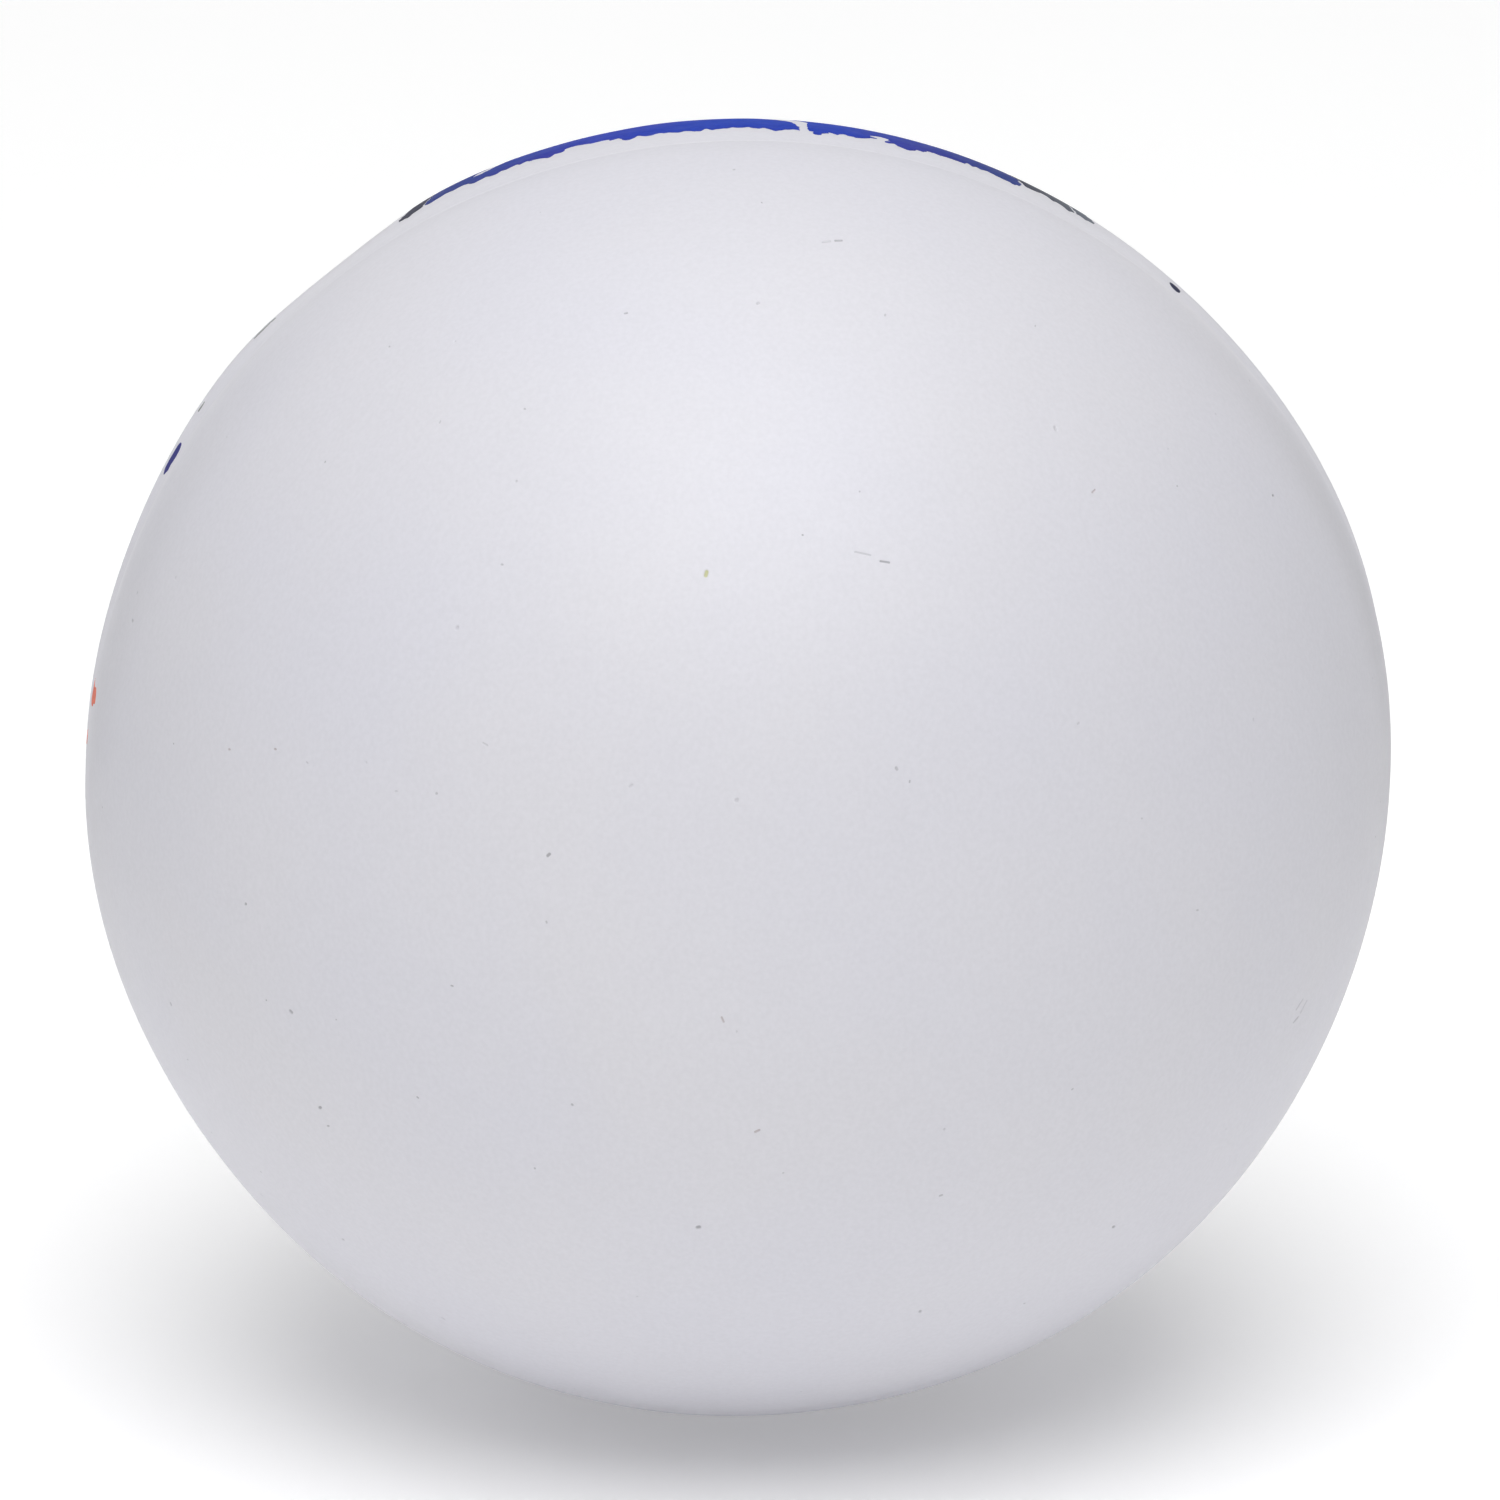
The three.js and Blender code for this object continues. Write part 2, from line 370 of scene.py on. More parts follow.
def relief(places):
    """Height of the surface above the nominal sphere, for an array of unit vectors."""
    height = np.zeros(len(places))
    for lon, polar, reach, top in SWELLS:
        away = np.degrees(np.arccos(np.clip(places @ direction(lon, polar), -1, 1)))
        height += top * np.exp(-(away / reach) ** 2)
    waves = np.sin(RADIUS * places @ RIPPLE_WAVES.T + RIPPLE_STARTS)
    height += RIPPLE_HEIGHT * waves.sum(axis=1)
    from_seam = RADIUS * np.arcsin(np.clip(np.abs(places[:, 1]), 0, 1))
    near = np.clip(from_seam / VALLEY_REACH, 0, 1)
    return height - VALLEY_DEPTH * 0.5 * (1 + np.cos(np.pi * near))


def lon_polar(places):
    """Longitude and polar angle, in degrees, of an array of unit vectors."""
    lon = np.degrees(np.arctan2(places[:, 2], places[:, 0]))
    return lon, np.degrees(np.arccos(np.clip(places[:, 1], -1, 1)))


def shade(places):
    """Painted shade and painted rim light on the plastic, as tints at an array of unit vectors."""
    lon, polar = lon_polar(places)
    tint = np.ones((len(places), 3))
    for centre_lon, centre_polar, reach_lon, reach_polar, change in PAINTED_SHADE_AND_RIM_LIGHT:
        aside = (lon - centre_lon + 180) % 360 - 180
        away = (aside / reach_lon) ** 2 + ((polar - centre_polar) / reach_polar) ** 2
        tint += change * np.exp(-away)[:, None]
    return tint


def ring(arc, count, start):
    """Evenly spaced chart points at one distance from the middle."""
    angles = start + 2 * np.pi * np.arange(count) / count
    return arc * np.stack([np.cos(angles), np.sin(angles)], axis=1)


def capsule(reach, radius, step):
    """Points round a straight line of the given half length, or a circle when that is 0."""
    turns = max(4, round(math.pi * radius / step))
    cap = np.linspace(-math.pi / 2, math.pi / 2, turns + 1)
    end = np.stack([reach + radius * np.cos(cap), radius * np.sin(cap)], axis=1)
    gaps = int(2 * reach / step)
    side = np.stack([np.linspace(reach, -reach, gaps + 2)[1:-1], np.full(gaps, radius)], axis=1)
    half = np.concatenate([end, side])
    if reach == 0:
        half = end[:-1]
    return np.concatenate([half, -half])


def rotate(points, degrees):
    """Flat points turned about the middle."""
    turn = math.radians(degrees)
    return points @ np.array([[math.cos(turn), math.sin(turn)], [-math.sin(turn), math.cos(turn)]])


class Flaw:
    """A pit or a short scratch on a cup, in the cup's chart."""

    def __init__(self, centre, turn, length, radius, tint):
        self.centre = np.array(centre)
        self.turn = turn
        self.reach = length / 2
        self.radius = radius
        self.tint = np.array(tint)

    def distance(self, flat):
        """How far points are from the middle line, as a share of the radius."""
        local = rotate(flat - self.centre, -self.turn)
        past = local[:, 0] - np.clip(local[:, 0], -self.reach, self.reach)
        return np.hypot(past, local[:, 1]) / self.radius

    def points(self):
        """Mesh points that follow the flaw's own shape."""
        rings = [np.zeros((1, 2))]
        if self.reach:
            count = max(3, round(2 * self.reach / FLAW_STEP))
            line = np.linspace(-self.reach, self.reach, count)
            rings = [np.stack([line, np.zeros(count)], axis=1)]
        for share in FLAW_RINGS:
            rings.append(capsule(self.reach, share * self.radius, FLAW_STEP))
        return rotate(np.concatenate(rings), self.turn) + self.centre

    def room(self):
        return self.reach + FLAW_GAP * self.radius

    def is_clear_of(self, other):
        return np.hypot(*(self.centre - other.centre)) > self.room() + other.room()


def scatter_flaws(side, rim_arc):
    """The single marks of a cup, and random pits clear of them and of the rim."""
    rng = np.random.default_rng(FLAW_SEEDS[side])
    flaws = []
    if side == FRONT:
        for right, up, turn, length, radius, tint in FLAWS:
            centre = RADIUS * np.radians([right, up])
            flaws.append(Flaw(centre, turn, length * MM, radius * MM, tint))
    total = len(flaws) + PITS_PER_CUP
    while len(flaws) < total:
        arc = RADIUS * math.acos(rng.uniform(0, 1))
        around = rng.uniform(0, 2 * math.pi)
        low, high = PIT_RADIUS
        radius = low + (high - low) * rng.random() ** 2
        pit = Flaw(
            (arc * math.cos(around), arc * math.sin(around)),
            rng.uniform(0, 180),
            radius * rng.uniform(0, PIT_STRETCH),
            radius,
            np.full(3, rng.uniform(*PIT_TONE)),
        )
        clear = all(pit.is_clear_of(other) for other in flaws)
        if clear and arc < rim_arc - RIM_RINGS[-1] - SPACING:
            flaws.append(pit)
    return flaws


def cup_points(side, rim_arc, flaws):
    """Chart points of a cup's outside: plain rings, finer rings at the rim, and the flaws' own."""
    rng = np.random.default_rng(MESH_SEEDS[side])
    plain_end = rim_arc - RIM_RINGS[-1] - SPACING / 2
    rings = int(plain_end / SPACING)
    points = [np.zeros((1, 2))]
    for index in range(1, rings + 1):
        arc = plain_end * index / rings
        count = max(6, round(2 * math.pi * RADIUS * math.sin(arc / RADIUS) / SPACING))
        points.append(ring(arc, count, rng.uniform(0, 2 * math.pi)))
    step = math.pi / RIM_POINTS
    for index, inset in enumerate(reversed(RIM_RINGS)):
        points.append(ring(rim_arc - inset, RIM_POINTS, (index % 2) * step))
    points = np.concatenate(points)
    for flaw in flaws:
        points = points[flaw.distance(points) > FLAW_RINGS[-1] + FLAW_CLEARANCE]
    rim = ring(rim_arc, RIM_POINTS, step)
    return np.concatenate([rim, points, *[flaw.points() for flaw in flaws]])


def inside_loops(points, loops):
    """Which flat points are inside the first loop and outside the others, by crossings."""
    crossings = np.zeros(len(points), int)
    for loop in loops:
        after = np.roll(loop, -1, axis=0)
        for (x0, y0), (x1, y1) in zip(loop, after):
            spans = (points[:, 1] >= min(y0, y1)) & (points[:, 1] < max(y0, y1))
            if y0 != y1:
                crossing = x0 + (points[:, 1] - y0) * (x1 - x0) / (y1 - y0)
                crossings += spans & (crossing > points[:, 0])
    return crossings % 2 == 1


def triangulate(loops, points):
    """Delaunay triangles of the area between flat loops, through the given inner points."""
    outlines = []
    total = 0
    for loop in loops:
        outlines.append(list(range(total, total + len(loop))))
        total += len(loop)
    edges = [(ids[i - 1], ids[i]) for ids in outlines for i in range(len(ids))]
    scaled = [Vector(p) for p in np.concatenate([*loops, points]) / MM]
    coords, _, faces, *_ = delaunay_2d_cdt(scaled, edges, [], 0, MERGE_DISTANCE)
    flat = np.array([(p.x, p.y) for p in coords]) * MM
    faces = np.array([list(face) for face in faces])
    return flat, faces[inside_loops(flat[faces].mean(axis=1), loops)].tolist()


def new_object(name, vertices, faces):
    """A smooth mesh object whose sharp edges stay sharp."""
    mesh = bpy.data.meshes.new(name)
    mesh.from_pydata([tuple(v) for v in vertices], [], faces)
    mesh.validate()
    mesh.shade_smooth()
    mesh.set_sharp_from_angle(angle=SHARP_ANGLE)
    thing = bpy.data.objects.new(name, mesh)
    bpy.context.scene.collection.objects.link(thing)
    return thing


def paint(thing, colours):
    """Stores a colour for each vertex, which the materials multiply into their own."""
    layer = thing.data.color_attributes.new("tint", "FLOAT_COLOR", "POINT")
    rgba = np.ones((len(thing.data.vertices), 4), np.float32)
    rgba[:len(colours), :3] = colours
    layer.data.foreach_set("color", rgba.ravel())


def lip_profile(side, steps):
    """Quarter round from a cup's outside to its butt face: inset from the rim radius, height."""
    turns = [0.5 * math.pi * step / LIP_STEPS for step in steps]
    return [
        (LIP * (1 - math.cos(turn)), side * (RIM + LIP - LIP * math.sin(turn)))
        for turn in turns
    ]


def inside_profile(side):
    """Joint, belt and inner wall of a cup, from its butt face to its inner pole."""
    radius, end = (TONGUE_RADIUS, TONGUE_LENGTH) if side == FRONT else (REBATE_RADIUS, TONGUE_TOP)
    joint = [(radius, side * RIM), (radius, end), (BELT_RADIUS, end)]
    belt = math.acos(BELT_RADIUS / INNER_RADIUS)
    angles = belt + (math.pi / 2 - belt) * np.arange(INNER_RINGS) / INNER_RINGS
    wall = [
        (INNER_RADIUS * math.cos(angle), side * INNER_RADIUS * math.sin(angle))
        for angle in angles
    ]
    return joint + wall


def circle(radius, height, around):
    """Vertices round the Y axis. Radius is a number or one for each direction in around."""
    radii = np.broadcast_to(radius, len(around))
    heights = np.broadcast_to(height, len(around))
    return np.stack([radii * around[:, 0], heights, radii * around[:, 1]], axis=1)


def outside_of_cup(side):
    """Outside of a cup with its flaws: vertices, triangles, tints, and rim vertices in order."""
    rim_arc = RADIUS * math.pi / 2 - RIM - LIP
    flaws = scatter_flaws(side, rim_arc)
    points = cup_points(side, rim_arc, flaws)
    flat, faces = triangulate([points[:RIM_POINTS]], points[RIM_POINTS:])
    places = CUP_CHARTS[side].lift(flat)
    height = relief(places)
    # The tints start as painted shade and painted rim light; the flaws' own colours are multiplied
    # in below.
    tints = shade(places)
    for flaw in flaws:
        inside = np.clip(1 - flaw.distance(flat) ** 2, 0, 1)
        height -= FLAW_DEPTH * flaw.radius * inside
        tints *= 1 - (1 - flaw.tint) * np.clip(FLAW_FILL * inside, 0, 1)[:, None]
    rim = np.argsort(-np.hypot(*flat.T))[:RIM_POINTS]
    rim = rim[np.argsort(np.arctan2(flat[rim, 1], flat[rim, 0]))]
    return places * (RADIUS + height)[:, None], faces, tints, rim


def make_cup(name, side):
    """One cup as a closed shell: outside, rounded lip, its half of the joint, and inside."""
    outside, faces, tints, rim = outside_of_cup(side)
    rim_radius = np.hypot(outside[rim, 0], outside[rim, 2])
    around = outside[rim][:, [0, 2]] / rim_radius[:, None]
    blocks = [outside]
    for inset, level in lip_profile(side, range(1, LIP_STEPS + 1)):
        blocks.append(circle(rim_radius - inset, level, around))
    for radius, level in inside_profile(side):
        blocks.append(circle(radius, level, around))
    last = rim.tolist()
    total = len(outside)
    for _ in blocks[1:]:
        ids = list(range(total, total + RIM_POINTS))
        faces += [[last[j], last[j - 1], ids[j - 1], ids[j]] for j in range(RIM_POINTS)]
        last, total = ids, total + RIM_POINTS
    faces += [[last[j], last[j - 1], total] for j in range(RIM_POINTS)]
    blocks.append(np.array([[0, side * INNER_RADIUS, 0]]))
    cup = new_object(name, np.concatenate(blocks), faces)
    paint(cup, tints)
    return cup


def wander(places, lengths, rng):
    """Smooth random values along a line of positions, as a sum of waves of several lengths."""
    total = np.zeros(len(places))
    span = places.max() - places.min()
    for length, height in lengths:
        count = int(span / length) + 4
        knots = rng.uniform(-1, 1, count)
        spots = (places - places.min()) / length
        cell = spots.astype(int)
        share = spots - cell
        share = share * share * (3 - 2 * share)
        total += height * (knots[cell] * (1 - share) + knots[cell + 1] * share)
    return total


def resample(line, step):
    """Evenly spaced points along a flat line."""
    lengths = np.hypot(*np.diff(line, axis=0).T)
    travelled = np.concatenate([[0], np.cumsum(lengths)])
    spots = np.arange(0, travelled[-1] - step / 2, step)
    return np.stack([np.interp(spots, travelled, line[:, axis]) for axis in (0, 1)], axis=1)


def resample_loop(loop, step):
    """Evenly spaced points along a closed flat line."""
    return resample(np.concatenate([loop, loop[:1]]), step)


def roughen(loop, share, rng):
    """Pushes a loop's points in and out by random amounts. Share is a number or one per point."""
    run = unit(np.roll(loop, -1, axis=0) - np.roll(loop, 1, axis=0))
    out = np.stack([run[:, 1], -run[:, 0]], axis=1)
    travelled = EDGE_STEP * np.arange(len(loop))
    push = share * wander(travelled, ROUGH_EDGE, rng)
    return loop + out * push[:, None]


def dome_polar(lon):
    """Polar angle of the panel's round rear edge at a longitude."""
    centre = math.radians(DOME["polar"])
    straight = math.cos(centre)
    aside = math.sin(centre) * np.cos(np.radians(lon - DOME["lon"]))
    tilt = np.arctan2(aside, straight)
    edge = tilt - np.arccos(math.cos(math.radians(DOME["reach"])) / np.hypot(straight, aside))
    return np.degrees(edge)


def edge_polar(lon):
    """Shift of the panel's worn front edge, in degrees, from its bulges and nicks."""
    shift = np.zeros(len(lon))
    for centre, half_width, reach in EDGE_BUMPS:
        shift += reach * np.exp(-((lon - centre) / half_width) ** 2)
    return shift


def patch_outline(spec, chart, bumps):
    """Outline of a printed patch between two meridians, its front edge and the round rear edge."""
    low, high = spec["lon"]
    front = spec["polar"][1]
    corner = spec["corner"]
    lon = np.linspace(low, high, OUTLINE_POINTS)
    nearest = np.minimum(lon - low, high - lon) / corner
    rounding = corner * (1 - np.sqrt(1 - np.clip(1 - nearest, 0, 1) ** 2))
    front_edge = front - rounding + (edge_polar(lon) if bumps else 0)
    rear_edge = np.maximum(dome_polar(lon), spec["polar"][0])
    outline = np.concatenate([
        np.stack([lon, front_edge], axis=1),
        np.stack([lon, rear_edge], axis=1)[::-1],
    ])
    return chart.flatten(direction(outline[:, 0], outline[:, 1]))


def slit_outline(slit, chart, rng):
    """Lightly worn line up one side of a slit, round its point and down the other side."""
    lon, polar, half_width = np.array(slit).T
    middle = chart.flatten(direction(lon, polar))
    across = rotate(unit(np.gradient(middle, axis=0)), 90) * half_width[:, None] * MM
    sides = np.concatenate([middle + across, (middle - across)[-2::-1]])
    return roughen(resample(sides, EDGE_STEP), CLEAN_SHARE, rng)


def cut_notch(loop, slit):
    """Runs a loop along both sides of a slit whose front end is outside it."""
    hit = np.flatnonzero(inside_loops(loop, [slit]))
    inner = slit[inside_loops(slit, [loop])]
    if np.hypot(*(inner[0] - loop[hit[0]])) > np.hypot(*(inner[-1] - loop[hit[0]])):
        inner = inner[::-1]
    return np.concatenate([loop[:hit[0]], inner, loop[hit[-1] + 1:]])


def cross(first, second):
    """Cross product of flat vectors."""
    return first[..., 0] * second[..., 1] - first[..., 1] * second[..., 0]


def untie(loop):
    """Cuts off the knots where a flat loop crosses itself."""
    start = 0
    while start < len(loop) - 2:
        end = start + 2 + len(loop) // 2
        run = loop[start + 1] - loop[start]
        tails = loop[start + 2:end]
        runs = np.roll(loop, -1, axis=0)[start + 2:end] - tails
        slope = cross(run, runs)
        slope[slope == 0] = np.inf
        along = cross(tails - loop[start], runs) / slope
        across = cross(tails - loop[start], run) / slope
        hits = np.flatnonzero((along > 0) & (along < 1) & (across > 0) & (across < 1))
        if len(hits):
            knot = loop[start] + along[hits[-1]] * run
            loop = np.concatenate([loop[:start + 1], [knot], loop[start + 3 + hits[-1]:]])
        start += 1
    return loop


def fill_points(loops, spacing, clearance):
    """Inner mesh points of an area, on a triangular grid that keeps clear of the loops."""
    low, high = loops[0].min(axis=0), loops[0].max(axis=0)
    columns = np.arange(low[0], high[0], spacing)
    rows = np.arange(low[1], high[1], spacing * math.sqrt(0.75))
    grid = []
    for index, row in enumerate(rows):
        shifted = columns + (index % 2) * spacing / 2
        grid.append(np.stack([shifted, np.full(len(columns), row)], axis=1))
    points = np.concatenate(grid)
    points = points[inside_loops(points, loops)]
    edge = np.concatenate(loops)
    nearest = np.array([np.hypot(*(edge - p).T).min() for p in points])
    return points[nearest > clearance]


def make_film(name, loops, chart, tint=None):
    """A closed film of ink within flat loops. Tint is a function of places on the ball."""
    loops = [untie(loop) for loop in loops]
    points = fill_points(loops, INK_SPACING, EDGE_CLEARANCE)
    flat, faces = triangulate(loops, points)
    places = chart.lift(flat)
    height = RADIUS + relief(places)
    count = len(flat)
    top = places * (height + INK)[:, None]
    root = places * (height - INK_ROOT)[:, None]
    steps = {(face[i - 1], face[i]) for face in faces for i in range(3)}
    walls = [[b, a, a + count, b + count] for a, b in sorted(steps) if (b, a) not in steps]
    roots = [[c + count, b + count, a + count] for a, b, c in faces]
    film = new_object(name, np.concatenate([top, root]), faces + walls + roots)
    colours = np.ones((count, 3))
    if tint:
        colours *= tint(places)
    paint(film, np.concatenate([colours, colours]))
    return film


def fade_strip(places):
    """Tints of the right strip, which pales away from the panel."""
    low, high = STRIPS["print_strip_right"]["lon"]
    share = (high - lon_polar(places)[0]) / (high - low)
    return 1 + np.clip(share, 0, 1)[:, None] * (np.array(STRIP_FADE) - 1)


def fade_panel(places):
    """Tints of the panel, which darkens to both sides."""
    lon, _ = lon_polar(places)
    start, end = FADE_SPAN
    share = np.clip((np.abs(lon - DOME["lon"]) - start) / (end - start), 0, 1)
    return 1 + share[:, None] * (np.array(PANEL_FADE) - 1)


def make_patches():
    """The large panel with its two slits, and the dark strips along its sides."""
    chart = mark_chart(DOME["lon"], (PANEL["polar"][0] + PANEL["polar"][1]) / 2)
    rng = np.random.default_rng(PATCH_SEED)
    films = {}

    def worn_outline(spec, bumps):
        """The front edge is ragged, and the sides and the rear edge are nearly clean."""
        loop = resample_loop(patch_outline(spec, chart, bumps), EDGE_STEP)
        lon, polar = lon_polar(chart.lift(loop))
        low, high = spec["lon"]
        front = np.clip((polar - ROUGH_POLAR[0]) / (ROUGH_POLAR[1] - ROUGH_POLAR[0]), 0, 1)
        between = np.clip(np.minimum(lon - low, high - lon) / spec["corner"], 0, 1)
        return roughen(loop, CLEAN_SHARE + (1 - CLEAN_SHARE) * front * between, rng)

    outline = cut_notch(worn_outline(PANEL, True), slit_outline(OPEN_SLIT, chart, rng))
    hole = slit_outline(CLOSED_SLIT, chart, rng)
    films["print_panel"] = make_film("film_panel", [outline, hole], chart, fade_panel)
    for name, spec in STRIPS.items():
        outline = worn_outline(spec, False)
        tint = None
        if name == "print_strip_right":
            outline = cut_notch(outline, slit_outline(STRIP_SLIT, chart, rng))
            tint = fade_strip
        films[name] = make_film(name.replace("print", "film"), [outline], chart, tint)
    return films


def make_marks():
    """The small bars and dots, each a round-ended stroke with a worn outline."""
    films = {}
    rng = np.random.default_rng(MARK_SEED)
    for name, (lon, polar, length, width, turn, wear) in MARKS.items():
        chart = mark_chart(lon, polar)
        radius = width * MM / 2
        outline = rotate(capsule(length * MM / 2 - radius, radius, EDGE_STEP), turn)
        loop = roughen(resample_loop(outline, EDGE_STEP), wear, rng)
        tint = np.array(MARK_TINTS.get(name, NO_TINT))
        films[name] = make_film(name.replace("print", "film"), [loop], chart, lambda places: tint)
    return films


def cement_profile(rim_radius, sag):
    """Section of the cement: radius and height, from the tongue's root round to its inside."""
    steps = range(CEMENT_START, LIP_STEPS + 1)
    front = [(rim_radius - inset - SLACK, level) for inset, level in lip_profile(FRONT, steps)]
    rear = [(rim_radius - inset - SLACK, level) for inset, level in lip_profile(REAR, steps)]
    bead = TONGUE_LENGTH + RIM
    return [
        (TONGUE_RADIUS + SLACK, -RIM + SLACK),
        *reversed(front),
        (rim_radius - sag, 0),
        *rear,
        (REBATE_RADIUS - SLACK, RIM - SLACK),
        (REBATE_RADIUS - SLACK, TONGUE_TOP - SLACK),
        (BELT_RADIUS, TONGUE_TOP - SLACK),
        (BELT_RADIUS - SLACK, bead + BEAD_WIDTH / 2),
        (BELT_RADIUS - BEAD_RISE, bead),
        (BELT_RADIUS - SLACK, bead - BEAD_WIDTH / 2),
        (BELT_RADIUS, TONGUE_LENGTH + SLACK),
        (TONGUE_RADIUS + SLACK, TONGUE_LENGTH + SLACK),
    ]


def make_cement():
    """The ring of cement: a hollow top between the lips, then all round the tongue."""
    rng = np.random.default_rng(CEMENT_SEED)
    angles = 2 * np.pi * (np.arange(RIM_POINTS) + 0.5) / RIM_POINTS
    around = np.stack([np.cos(angles), np.sin(angles)], axis=1)
    edge = np.stack([around[:, 0], np.zeros(RIM_POINTS), around[:, 1]], axis=1)
    sag = CEMENT_SAG + wander(angles * RADIUS, CEMENT_WAVES, rng)
    profile = cement_profile(RADIUS + relief(edge), sag)
    rows = len(profile)
    vertices = np.concatenate([circle(radius, level, around) for radius, level in profile])
    faces = []
    for row in range(rows):
        here, there = row * RIM_POINTS, (row + 1) % rows * RIM_POINTS
        for j in range(RIM_POINTS):
            k = (j + 1) % RIM_POINTS
            faces.append([here + j, there + j, there + k, here + k])
    cement = new_object("cement_ring", vertices, faces)
    # The cement carries the same painted shade and painted rim light as the cups.
    paint(cement, shade(unit(vertices)))
    return cement


def node(tree, kind, settings=None, **inputs):
    """A shader node with its settings, and its inputs set to a value or joined to a socket."""
    made = tree.nodes.new("ShaderNode" + kind)
    for key, value in (settings or {}).items():
        setattr(made, key, value)
    for key, value in inputs.items():
        socket = made.inputs[key.replace("_", " ")]
        if isinstance(value, bpy.types.NodeSocket):
            tree.links.new(value, socket)
        else:
            socket.default_value = value
    return made


def noise(tree, place, length, detail=PLAIN_DETAIL, shift=0.0):
    """Random values whose patches are about as long as the given length."""
    moved = node(tree, "VectorMath", {"operation": "ADD"}, Vector=place)
    moved.inputs[1].default_value = (shift, shift, shift)
    made = node(tree, "TexNoise", Vector=moved.outputs[0], Scale=1 / length, Detail=detail)
    return made.outputs["Fac"]


def remap(tree, value, low, high, start=0.3, end=0.7):
    """Value whose change from start to end becomes one from low to high, and stays within them."""
    ends = {"From_Min": start, "From_Max": end, "To_Min": low, "To_Max": high}
    return node(tree, "MapRange", Value=value, **ends).outputs["Result"]


def blend(tree, share, first, second, kind="MIX"):
    """Colour mix. Each of the three can be a plain value or a socket."""
    made = tree.nodes.new("ShaderNodeMix")
    made.data_type = "RGBA"
    made.blend_type = kind
    for index, value in zip(MIX_INPUTS, (share, first, second)):
        if isinstance(value, bpy.types.NodeSocket):
            tree.links.new(value, made.inputs[index])
        elif isinstance(value, tuple):
            made.inputs[index].default_value = (*value, 1)
        else:
            made.inputs[index].default_value = value
    return made.outputs[MIX_RESULT]


def coated(name, colours, grain, roughness, bump, shine, specks=None, shift=0.0):
    """A material with broad colour patches, fine grain, varied gloss and a grainy surface."""
    material = bpy.data.materials.new(name)
    material.use_nodes = True
    tree = material.node_tree
    shader = tree.nodes["Principled BSDF"]
    shader.inputs["Specular IOR Level"].default_value = shine
    place = tree.nodes.new("ShaderNodeTexCoord").outputs["Object"]
    broad = noise(tree, place, BROAD_PATCH, shift=shift)
    fine = noise(tree, place, GRAIN_SIZE, shift=shift)
    colour = blend(tree, remap(tree, broad, 0, 1), *colours)
    colour = blend(tree, 1.0, colour, remap(tree, fine, 1 - grain, 1 + grain), "MULTIPLY")
    if specks:
        size, cover, under = specks
        holes = noise(tree, place, size, FINE_DETAIL, shift + SHIFT)
        bare = remap(tree, holes, 0, 1, cover, cover + SPECK_SOFTNESS)
        colour = blend(tree, bare, colour, under)
    # Vertex tints: on the plastic and the cement they hold painted shade and painted rim light as
    # well as the flaws' colours; on the ink, the print's fades.
    tint = node(tree, "VertexColor", {"layer_name": "tint"}).outputs["Color"]
    colour = blend(tree, 1.0, colour, tint, "MULTIPLY")
    tree.links.new(colour, shader.inputs["Base Color"])
    gloss = noise(tree, place, GLOSS_PATCH, GLOSS_DETAIL, shift + 2 * SHIFT)
    tree.links.new(remap(tree, gloss, *roughness), shader.inputs["Roughness"])
    height = noise(tree, place, BUMP_SIZE, FINE_DETAIL, shift + 3 * SHIFT)
    grainy = node(tree, "Bump", Height=height, Strength=1.0, Distance=bump)
    tree.links.new(grainy.outputs["Normal"], shader.inputs["Normal"])
    return material


def plastic(name, colours, gloss, shift=0.0):
    """Satin plastic, or the cement that has set to look like it."""
    return coated(name, colours, PLASTIC_GRAIN, gloss, PLASTIC_BUMP, PLASTIC_SHINE, shift=shift)


def ink(name, colours, grain, cover):
    """Ink through which the plastic shows in fine specks."""
    return coated(name, colours, grain, INK_GLOSS, INK_BUMP, INK_SHINE, (SPECK_SIZE, cover, WHITE))


def make_world():
    """A soft dome that is dim in front of the ball, and pale below the floor's far edge."""
    world = bpy.data.worlds.new("studio")
    world.use_nodes = True
    bpy.context.scene.world = world
    tree = world.node_tree
    place = tree.nodes.new("ShaderNodeTexCoord").outputs["Generated"]
    axes = node(tree, "SeparateXYZ", Vector=place)
    dome = remap(tree, axes.outputs["Y"], *SKY, *SKY_SPAN)
    below = remap(tree, axes.outputs["Z"], 1, 0, 0, HORIZON_SOFTNESS)
    strength = blend(tree, below, dome, (BELOW_HORIZON,) * 3)
    tree.links.new(strength, tree.nodes["Background"].inputs["Strength"])
    tree.nodes["Background"].inputs["Color"].default_value = (1, 1, 1, 1)


def make_floor(level):
    """A round pale floor at the given height."""
    mesh = bpy.data.meshes.new("floor")
    angles = 2 * np.pi * np.arange(FLOOR_SIDES) / FLOOR_SIDES
    corners = [(FLOOR_REACH * math.cos(a), FLOOR_REACH * math.sin(a), level) for a in angles]
    mesh.from_pydata(corners, [], [list(range(FLOOR_SIDES))])
    floor = bpy.data.objects.new("floor", mesh)
    bpy.context.scene.collection.objects.link(floor)
    floor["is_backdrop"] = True
    material = bpy.data.materials.new("paper")
    material.use_nodes = True
    tree = material.node_tree
    shader = tree.nodes["Principled BSDF"]
    shader.inputs["Base Color"].default_value = PAPER
    shader.inputs["Roughness"].default_value = PAPER_ROUGHNESS
    shader.inputs["Emission Color"].default_value = (1, 1, 1, 1)
    place = tree.nodes.new("ShaderNodeTexCoord").outputs["Object"]
    away = node(tree, "VectorMath", {"operation": "LENGTH"}, Vector=place).outputs["Value"]
    glow = remap(tree, away, *FLOOR_GLOW, *FLOOR_RISE)
    tree.links.new(glow, shader.inputs["Emission Strength"])
    mesh.materials.append(material)


def aim(thing, back, distance, target):
    """Adds an object that looks at a target from the given distance."""
    thing.location = back * distance + target
    thing.rotation_mode = "QUATERNION"
    thing.rotation_quaternion = back.to_track_quat("Z", "Y")
    bpy.context.scene.collection.objects.link(thing)


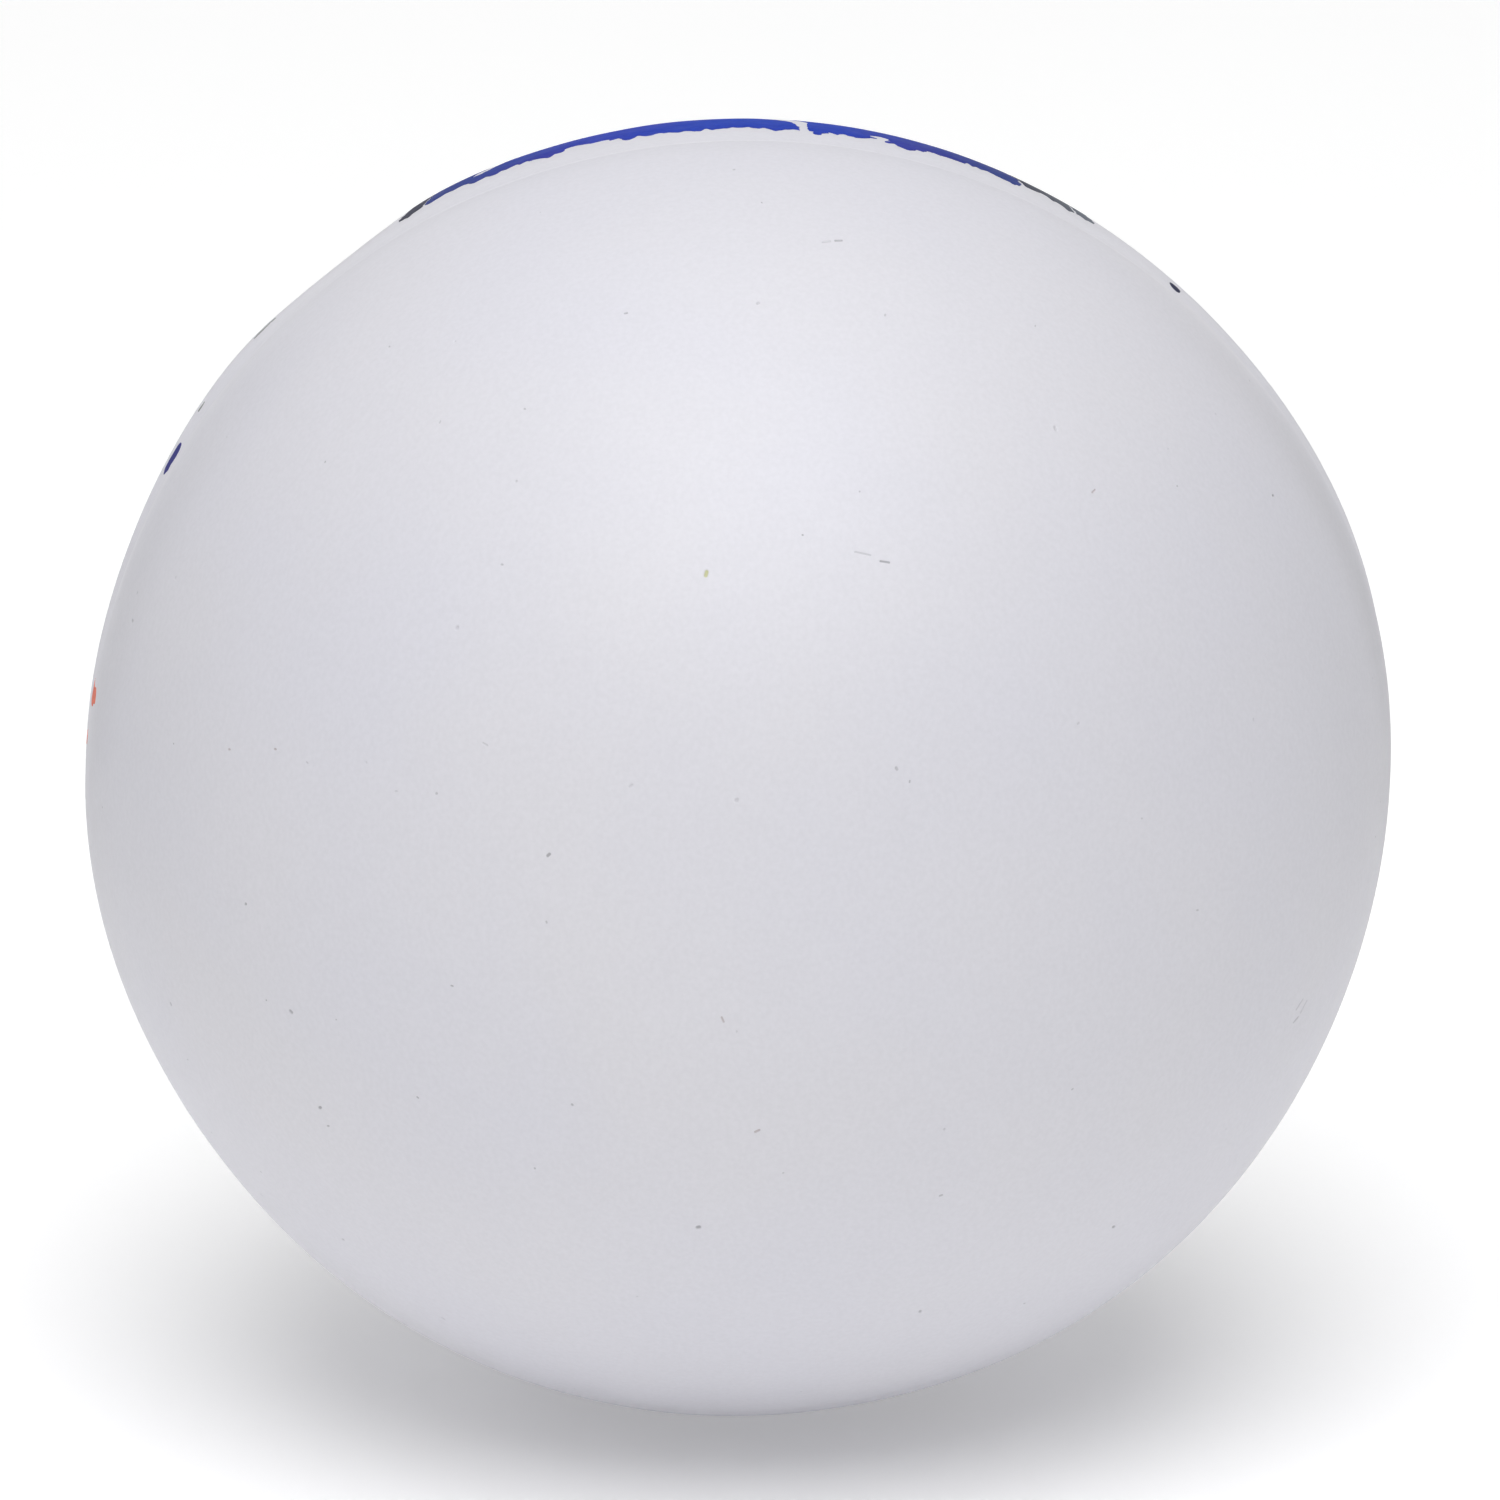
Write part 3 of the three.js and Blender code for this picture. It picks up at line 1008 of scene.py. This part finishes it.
def towards(azimuth, elevation):
    """Direction from the ball: azimuth 0 is the front, 90 is +X."""
    turn, rise = math.radians(azimuth), math.radians(elevation)
    level = math.cos(rise)
    return Vector((math.sin(turn) * level, -math.cos(turn) * level, math.sin(rise)))


def make_lights():
    """Large soft round lights that don't show in the picture."""
    for name, azimuth, elevation, size, power in LIGHTS:
        lamp = bpy.data.lights.new(name, "AREA")
        lamp.shape = "DISK"
        lamp.size = size
        lamp.energy = power
        light = bpy.data.objects.new(name, lamp)
        light.visible_camera = False
        aim(light, towards(azimuth, elevation), LIGHT_DISTANCE, Vector())


def make_camera():
    """The camera turns about a point beside the ball's centre, which puts the ball off centre."""
    half_view = math.tan(math.asin(RADIUS / CAMERA_DISTANCE)) / BALL_SHARE
    lens = bpy.data.cameras.new("camera")
    lens.lens = lens.sensor_width / 2 / half_view
    camera = bpy.data.objects.new("camera", lens)
    back = towards(*CAMERA_VIEW)
    right = Vector((0, 0, 1)).cross(back).normalized()
    up = back.cross(right)
    view_width = 2 * half_view * CAMERA_DISTANCE
    aim(camera, back, CAMERA_DISTANCE, view_width * (right * AIM_ASIDE + up * AIM_UP))
    bpy.context.scene.camera = camera


def register(thing, material, slot, *nodes):
    """Gives a piece its material and its body, and hides the CAD nodes it stands for. The slot is
    not used.
    """
    thing.data.materials.append(material)
    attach(thing, "root")
    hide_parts(*nodes)


SLOT_OF = {part["node"]: part["material_slot"] for part in frame["record"]["subparts"]}
MATERIALS = {
    "front_cup_plastic": plastic("front_plastic", COOL_WHITES, PLASTIC_GLOSS),
    "rear_cup_plastic": plastic("rear_plastic", COOL_WHITES, PLASTIC_GLOSS, REAR_SHIFT),
    "cement": plastic("milky_cement", CEMENT_TONES, CEMENT_GLOSS),
    "ink_blue": ink("blue_ink", BLUES, *DENSE_INK),
    "ink_dark": ink("dark_ink", DARKS, *DENSE_INK),
    "ink_grey": ink("grey_ink", GREYS, *THIN_INK),
    "ink_coral": ink("coral_ink", CORALS, *THIN_INK),
}

pieces = {"front_cup": make_cup("front_shell", FRONT), "rear_cup": make_cup("rear_shell", REAR)}
pieces["seam_cement"] = make_cement()
pieces.update(make_patches())
pieces.update(make_marks())
for cad_node, piece in pieces.items():
    register(piece, MATERIALS[SLOT_OF[cad_node]], SLOT_OF[cad_node], cad_node)

make_world()
make_lights()
make_camera()
make_floor(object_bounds()[0].z)
bpy.context.scene.view_settings.view_transform = "Standard"
